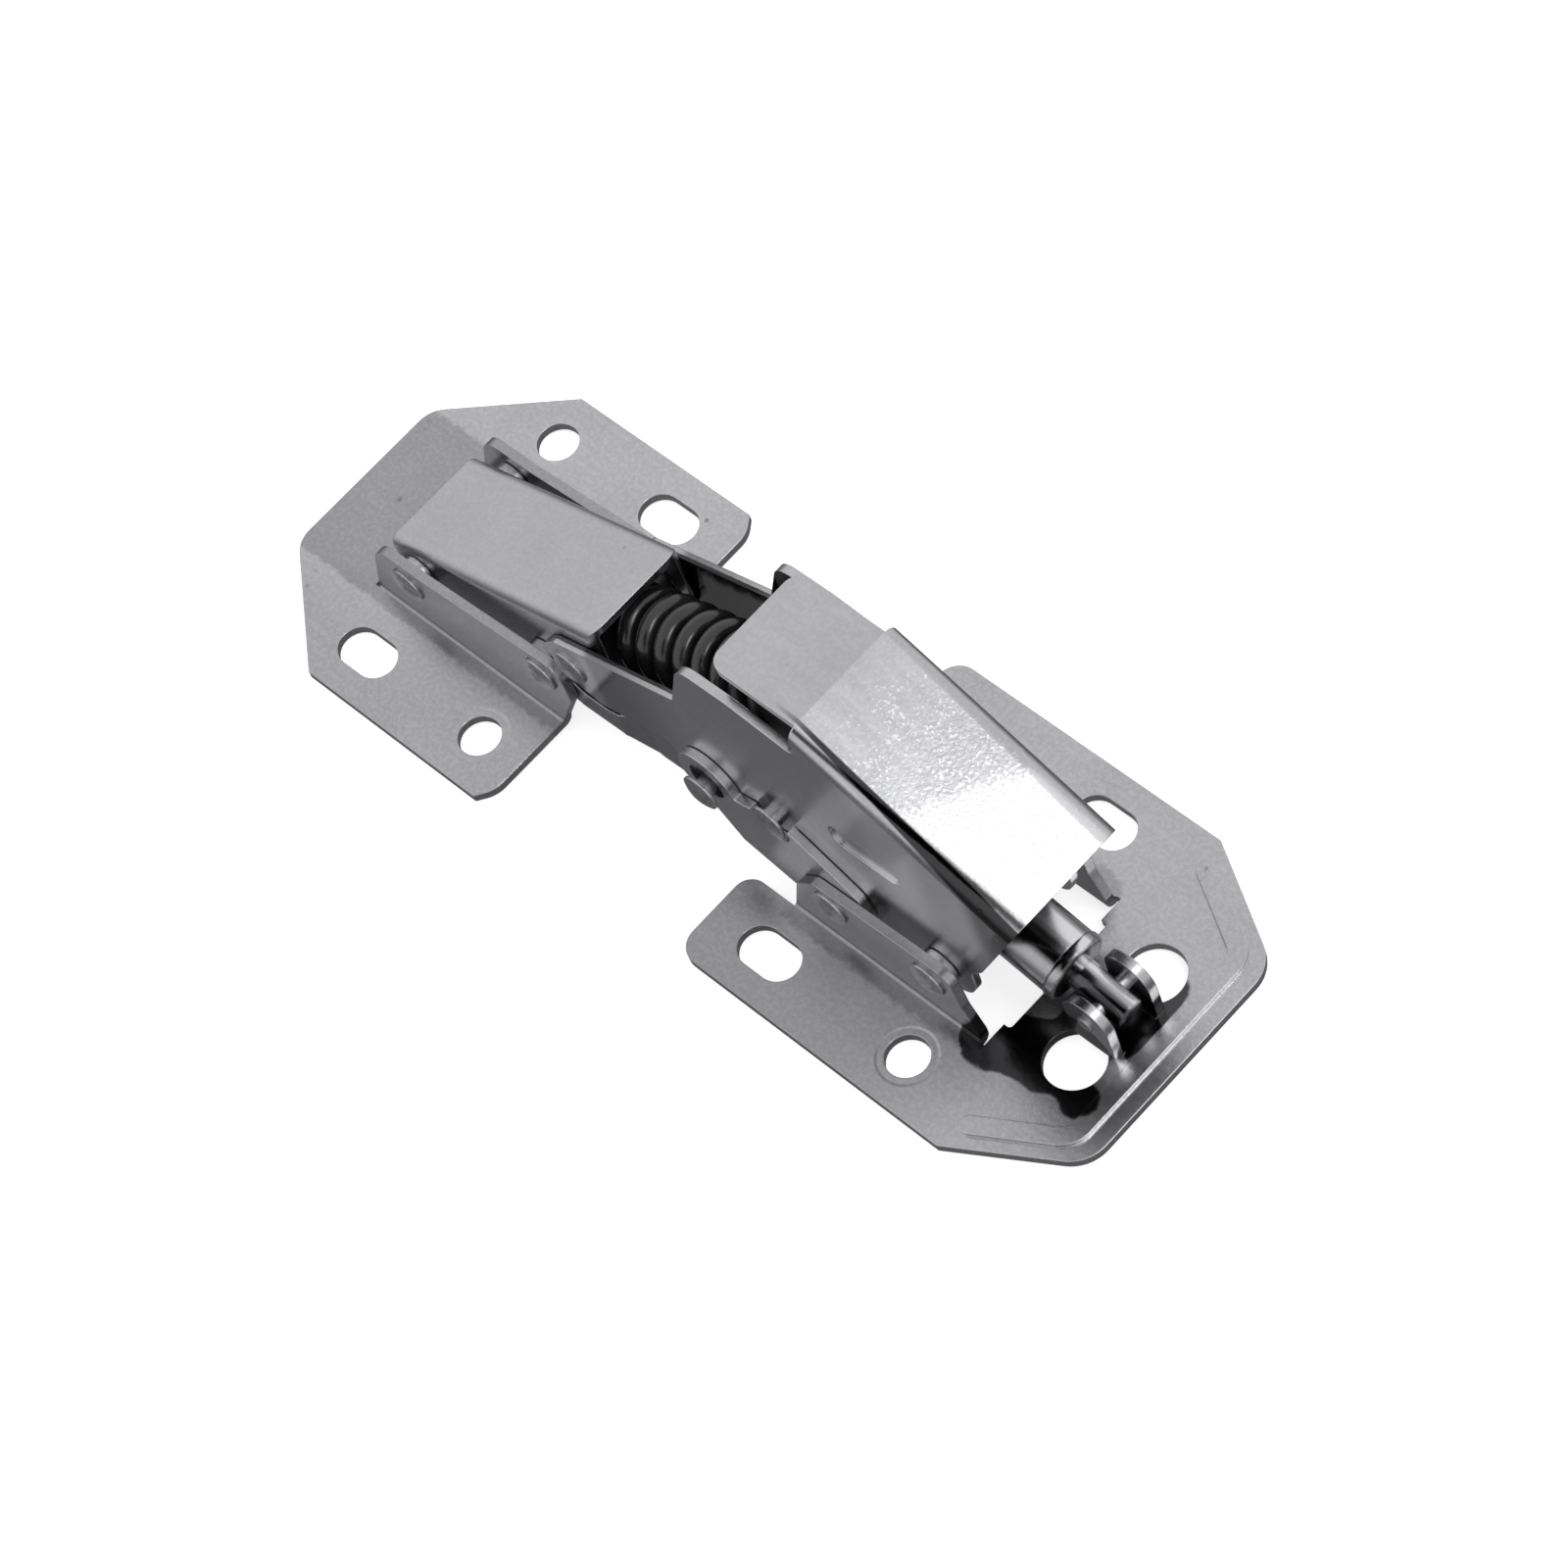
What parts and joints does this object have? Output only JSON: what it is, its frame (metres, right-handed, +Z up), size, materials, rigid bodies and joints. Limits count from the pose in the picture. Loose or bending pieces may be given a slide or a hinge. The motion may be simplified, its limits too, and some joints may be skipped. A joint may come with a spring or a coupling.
{
  "type": "concealed cabinet hinge",
  "caption": "Folding concealed hinge with two screw plates, a folded bridge arm, a black coil spring and a small damper, laid out flat and open.",
  "frame": {"origin": "bottom centre of the unfolded hinge, on the undersides of the two plates", "axes": "+X from the door plate to the cabinet plate, +Y across the hinge, +Z up from the plates"},
  "size_m": [0.1318, 0.047, 0.0439],
  "materials": {
    "plated_steel": "nickel plated sheet, satin to bright",
    "bright_steel": "bright plated tube",
    "black_steel": "black, oiled",
    "black_plastic": "black"
  },
  "bodies": {
    "cabinet_side": {"cabinet_plate": "plated_steel", "tie_rivets": "plated_steel", "bridge_rivets": "plated_steel", "ear_pin": "plated_steel"},
    "bridge": {"bridge_arm": "plated_steel", "link_pin": "plated_steel", "cross_pin": "plated_steel", "coil_spring": "black_steel", "spring_seat_door": "black_plastic", "spring_seat_cabinet": "black_plastic"},
    "inner": {"inner_arm": "plated_steel", "tie_pin": "plated_steel"},
    "door_side": {"door_plate": "plated_steel", "door_rivets": "plated_steel", "arm_rivets": "plated_steel"},
    "front_link": {"door_link": "plated_steel"},
    "ties": {"tie_link_near": "plated_steel", "tie_link_far": "plated_steel"},
    "damper_tube": {"damper_body": "bright_steel", "damper_cap": "bright_steel", "damper_gland": "black_plastic"},
    "damper_stem": {"damper_rod": "bright_steel", "damper_piston": "black_plastic", "damper_eye": "black_plastic"}
  },
  "joints": [
    {"name": "bridge_fold", "type": "hinge", "parent": "cabinet_side", "child": "bridge", "pos_m": [0.04021, 0, 0.00846], "axis": [0, 1, 0], "range_deg": [0, 64.1]},
    {"name": "inner_turn", "type": "hinge", "parent": "bridge", "child": "inner", "pos_m": [0.01714, 0, 0.01714], "axis": [0, 1, 0], "range_deg": [-74.5, 0]},
    {"name": "door_turn", "type": "hinge", "parent": "inner", "child": "door_side", "pos_m": [-0.02138, 0, 0.01135], "axis": [0, 1, 0], "range_deg": [0, 100.4]},
    {"name": "front_link_turn", "type": "hinge", "parent": "door_side", "child": "front_link", "pos_m": [-0.0449, 0, 0.00871], "axis": [0, 1, 0], "range_deg": [-111, 0]},
    {"name": "tie_turn", "type": "hinge", "parent": "cabinet_side", "child": "ties", "pos_m": [0.02531, 0, 0.00846], "axis": [0, 1, 0], "range_deg": [0, 76.4]},
    {"name": "damper_tube_turn", "type": "hinge", "parent": "cabinet_side", "child": "damper_tube", "pos_m": [0.05674, 0, 0.0064], "axis": [0, 1, 0], "range_deg": [0, 39.5]},
    {"name": "damper_stem_turn", "type": "hinge", "parent": "bridge", "child": "damper_stem", "pos_m": [0.01714, 0, 0.01714], "axis": [0, 1, 0], "range_deg": [-25.05, 0]}
  ],
  "couplings": [
    {"joint": "inner_turn", "follows": "bridge_fold", "ratio": -1.1614},
    {"joint": "door_turn", "follows": "bridge_fold", "ratio": 1.5655},
    {"joint": "front_link_turn", "follows": "bridge_fold", "ratio": -1.7303},
    {"joint": "tie_turn", "follows": "bridge_fold", "ratio": 1.1906},
    {"joint": "damper_tube_turn", "follows": "bridge_fold", "ratio": 0.615},
    {"joint": "damper_stem_turn", "follows": "bridge_fold", "ratio": -0.39}
  ]
}
